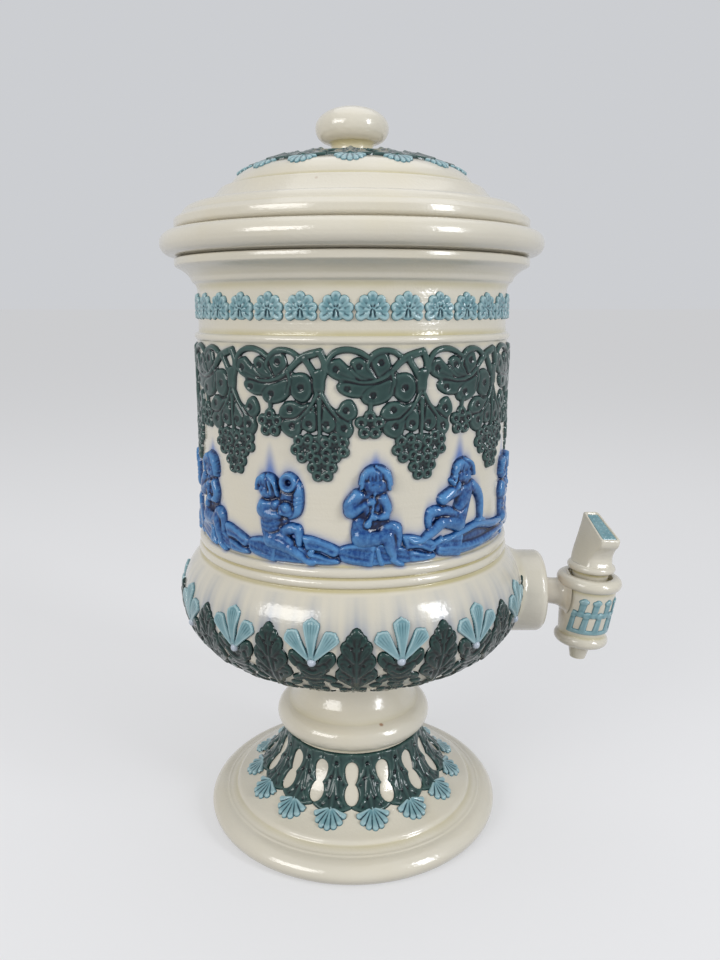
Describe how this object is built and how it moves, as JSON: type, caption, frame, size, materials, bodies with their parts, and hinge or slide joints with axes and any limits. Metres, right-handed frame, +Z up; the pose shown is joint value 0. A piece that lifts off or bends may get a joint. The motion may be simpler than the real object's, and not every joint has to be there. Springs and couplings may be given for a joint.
{
  "type": "stoneware water dispenser",
  "caption": "Lidded stoneware water urn on a pedestal foot, with a lift-out filter vessel, a ground stoneware tap and sprigged relief ornament.",
  "frame": {"origin": "centre of the ring that the foot stands on, on the table", "axes": "+Z up along the urn's axis; the tap points along +X; the front of the ornament faces -Y"},
  "size_m": [0.2626, 0.2051, 0.4042],
  "materials": {
    "cream_stoneware": "glossy salt glaze, pooled olive in the grooves",
    "green_sprig": "glossy salt glaze",
    "pale_blue_sprig": "glossy salt glaze",
    "cobalt_sprig": "glossy salt glaze",
    "pearl_sprig": "glossy salt glaze",
    "carbon": "matt pressed carbon",
    "ebonite": "satin hard rubber",
    "rubber": "matt red rubber",
    "cork": "matt cork"
  },
  "bodies": {
    "urn": {"urn_body": "cream_stoneware", "pedestal_foot": "cream_stoneware", "palmette_sprigs": "pale_blue_sprig", "vine_sprigs": "green_sprig", "figure_sprigs": "cobalt_sprig", "drapery_swags": "cobalt_sprig", "bowl_leaf_sprigs": "green_sprig", "fan_sprigs": "pale_blue_sprig", "calyx_sprigs": "green_sprig", "bowl_pearls": "pearl_sprig", "bowl_base_leaf_ring": "green_sprig", "foot_leaf_collar": "green_sprig", "foot_shell_sprigs": "pale_blue_sprig", "tap_body": "cream_stoneware", "tap_cork": "cork", "tap_lattice_sprig": "pale_blue_sprig"},
    "vessel": {"filter_vessel": "cream_stoneware", "carbon_filter_block": "carbon", "filter_stem": "ebonite", "upper_washer": "rubber", "lower_washer": "rubber", "wing_nut": "ebonite"},
    "lid": {"lid": "cream_stoneware", "lid_knob": "cream_stoneware", "lid_leaf_ring": "green_sprig", "lid_shell_sprigs": "pale_blue_sprig"},
    "key": {"tap_key": "cream_stoneware", "key_inlay": "pale_blue_sprig"}
  },
  "joints": [
    {"name": "lift_filter_vessel", "type": "slide", "parent": "urn", "child": "vessel", "axis": [0, 0, 1], "range_m": [0, 0.15]},
    {"name": "lift_lid", "type": "slide", "parent": "vessel", "child": "lid", "axis": [0, 0, 1], "range_m": [0, 0.08]},
    {"name": "turn_tap_key", "type": "hinge", "parent": "urn", "child": "key", "pos_m": [0.14029, 0, 0.13253], "axis": [0.0872, 0, 0.9962], "continuous": true}
  ]
}
